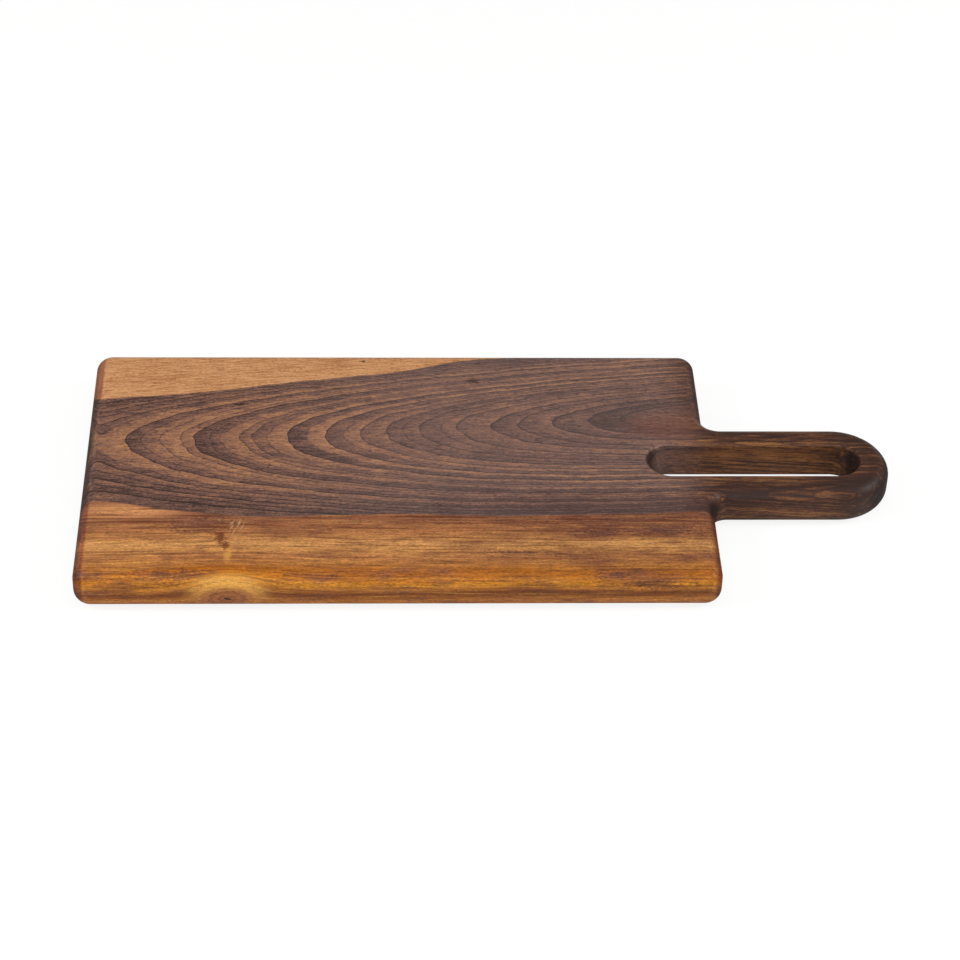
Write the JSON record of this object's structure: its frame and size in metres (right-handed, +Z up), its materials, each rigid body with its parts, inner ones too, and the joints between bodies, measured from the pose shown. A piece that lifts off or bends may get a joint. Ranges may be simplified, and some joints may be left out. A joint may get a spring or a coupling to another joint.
{
  "type": "wooden serving board",
  "caption": "Rectangular solid wood serving board with rolled edges and a round-ended handle that carries a long hand slot.",
  "frame": {"origin": "on the underside, below the middle of the whole length, handle included", "axes": "+X along the board towards the handle, +Y across it, +Z up out of the serving face"},
  "size_m": [0.45, 0.2, 0.023],
  "materials": {
    "wood": "oiled, satin"
  },
  "bodies": {
    "root": {"board": "wood"}
  },
  "joints": []
}
